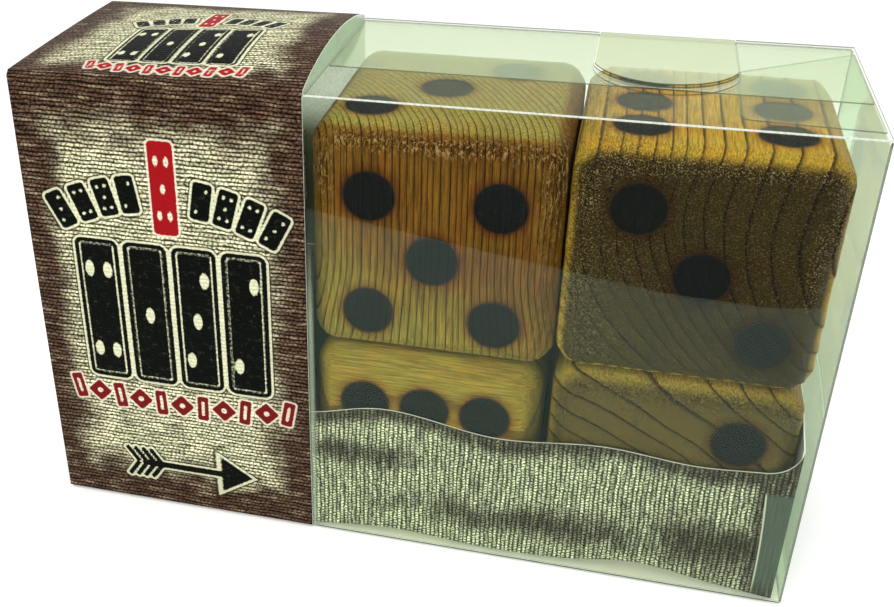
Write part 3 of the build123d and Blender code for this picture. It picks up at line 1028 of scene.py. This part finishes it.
def burlap_cloth():
    """Loose plain-weave jute, straw-brown, with fuzzy uneven yarns."""
    s = Shader("jute_cloth")
    where = s.attribute("weave", "Vector")
    slub = s.noise(s.vector("MULTIPLY", where, (0.2, 1, 1)), 0.8, 3)
    u, v = (s.add(s.multiply(way, 0.62), s.multiply(slub, 0.5)) for way in s.split(where)[:2])
    warp, weft = s.wave("SINE", u), s.wave("SINE", v)
    parity = s.math("MODULO", s.add(s.math("FLOOR", u), s.math("FLOOR", v)), 2.0)
    over = s.math("ABSOLUTE", parity)
    high = s.node("ShaderNodeMix", {0: over, 2: warp, 3: weft}, data_type="FLOAT").outputs[0]
    height = s.math("POWER", high, 0.6)
    fuzz = s.noise(where, 2.6, 4, 0.7)
    tone = s.add(s.multiply(height, 0.7), s.multiply(fuzz, 0.45))
    # painted shade: the colour follows the weave's height, darkest where the yarns dip into the
    # gaps between them; the fuzz adds random tone
    base = s.ramp(tone, ((0.15, (0.06, 0.035, 0.016)), (0.5, (0.33, 0.22, 0.11)),
                         (0.95, (0.62, 0.47, 0.28))))
    surface = s.principled({"Base Color": base, "Roughness": 0.92, "Sheen Weight": 0.25,
                            "Normal": s.bump(tone, 0.0006, 0.8)})
    return s.finish(surface)


BAG_LAYERS = 24
BAG_CLOTH = 1.0  # thickness


def make_bag():
    """The bag folded flat: one strip of cloth laid back and forth, with soft round folds."""
    low, high = cad_box("burlap_bag")
    depth = high[1] - low[1] - 3.0
    pitch = (high[2] - low[2] - 2.2) / BAG_LAYERS
    middle_y = (low[1] + high[1]) / 2
    path = []
    for layer in range(BAG_LAYERS):
        z = low[2] + 1.1 + pitch * (layer + 0.5)
        direction = 1 if layer % 2 == 0 else -1
        draw_in = 2.5 * hashed(np.int64(layer), np.int64(3), np.int64(5), 17) + 2.5
        reach = depth / 2 - pitch / 2 - draw_in
        for t in np.linspace(-1, 1, 30):
            path.append((direction * t * reach, z))
        if layer < BAG_LAYERS - 1:
            for a in np.linspace(-math.pi / 2, math.pi / 2, 7)[1:-1]:
                path.append((direction * (reach + math.cos(a) * pitch / 2),
                             z + pitch / 2 + math.sin(a) * pitch / 2))
    path = np.array(path)
    steps = np.hypot(*np.diff(path, axis=0).T)
    run = np.concatenate([[0], np.cumsum(steps)])
    tangent = np.gradient(path, axis=0)
    tangent /= np.linalg.norm(tangent, axis=1, keepdims=True)
    normal = np.stack([-tangent[:, 1], tangent[:, 0]], -1)
    x_line = spaced(low[0] + 1.5, high[0] - 1.5, 2.0)
    centre = np.stack(np.broadcast_arrays(x_line, middle_y + path[:, :1], path[:, 1:]), -1)
    x = centre[..., 0].copy()
    edge = np.clip((np.abs(x - (low[0] + high[0]) / 2) - 30) / 12, 0, 1)
    height_share = (centre[..., 2] - low[2]) / (high[2] - low[2])
    slump = 3.2 * edge ** 2 * height_share + 1.3 * height_share * noise(centre, 30, 41)
    centre[..., 2] -= np.abs(slump)
    centre[..., 0] += 1.2 * noise(centre * (1, 0.3, 2.0), 16, 43) * edge
    half = BAG_CLOTH / 2 * np.stack([0 * normal[:, 0], *normal.T], -1)[:, None]
    points, quads, _ = slab(centre + half, centre - half)
    length = np.repeat(run, len(x_line))
    weave = np.stack([np.tile(x.ravel(), 2), np.tile(length, 2), np.zeros(2 * x.size)], -1)
    made = make_piece("folded_burlap_bag", points, quads, [burlap_cloth()],
                      attributes={"weave": weave})
    settle(made, "burlap_bag")


# ------------------------ scene

def studio():
    s = Shader("studio_white")
    place = s.place()
    tone = s.fade(s.noise(place, 6, 2), 0.2, 0.8, 0.93, 0.96)
    white = s.finish(s.principled({"Base Color": s.grey(tone), "Roughness": 0.7,
                                   "Emission Color": (1, 1, 1, 1), "Emission Strength": 0.22}))
    plane("floor", ((-4, -4), (4, -4), (4, 4), (-4, 4)), -0.0002, white)

    # a dark mat with a slanting edge in front of the pack, seen only in reflections
    s = Shader("dark_mat")
    mat = s.finish(s.principled({"Base Color": (0.02, 0.02, 0.02, 1), "Roughness": 1.0}))
    outline = ((-0.9, -1.6), (0.8, -1.6), (0.8, -0.42), (0.16, -0.277), (0.1, -0.281),
               (-0.9, -0.5495))
    card = plane("dark_mat", outline, 0.001, mat)
    # the bright wall behind the table, seen only in reflections
    s = Shader("bright_wall")
    glow = s.node("ShaderNodeEmission", {"Color": (1, 1, 1, 1), "Strength": 1.06}).outputs[0]
    wall = plane("bright_wall", ((-2.2, -1.2), (2.2, -1.2), (2.2, 1.2), (-2.2, 1.2)), 0,
                 s.finish(glow))
    wall.rotation_euler = (math.pi / 2, 0, 0)
    wall.location = (0, 1.7, 1.21)
    for piece in (card, wall):
        for ray in ("camera", "diffuse", "shadow", "transmission"):
            setattr(piece, "visible_" + ray, False)

    world = bpy.data.worlds.new("studio")
    world.use_nodes = True
    background = world.node_tree.nodes["Background"]
    background.inputs["Color"].default_value = (1.0, 1.0, 0.985, 1)
    background.inputs["Strength"].default_value = 0.62
    bpy.context.scene.world = world
    area_light("key", (-0.35, -0.75, 0.95), (0.02, 0, 0.1), (0.7, 0.7), 8.0, (1, 0.98, 0.94))
    area_light("top", (0.25, 0.1, 1.1), (0, 0, 0.1), (0.9, 0.9), 5.0)
    scene = bpy.context.scene
    scene.view_settings.view_transform = "Standard"
    scene.cycles.transparent_max_bounces = 40


make_camera()
studio()
for node, look in DICE.items():
    make_die(node, {**PLAIN_DIE, **look})
make_bag()
make_tray()
make_sleeve()
paint_film()
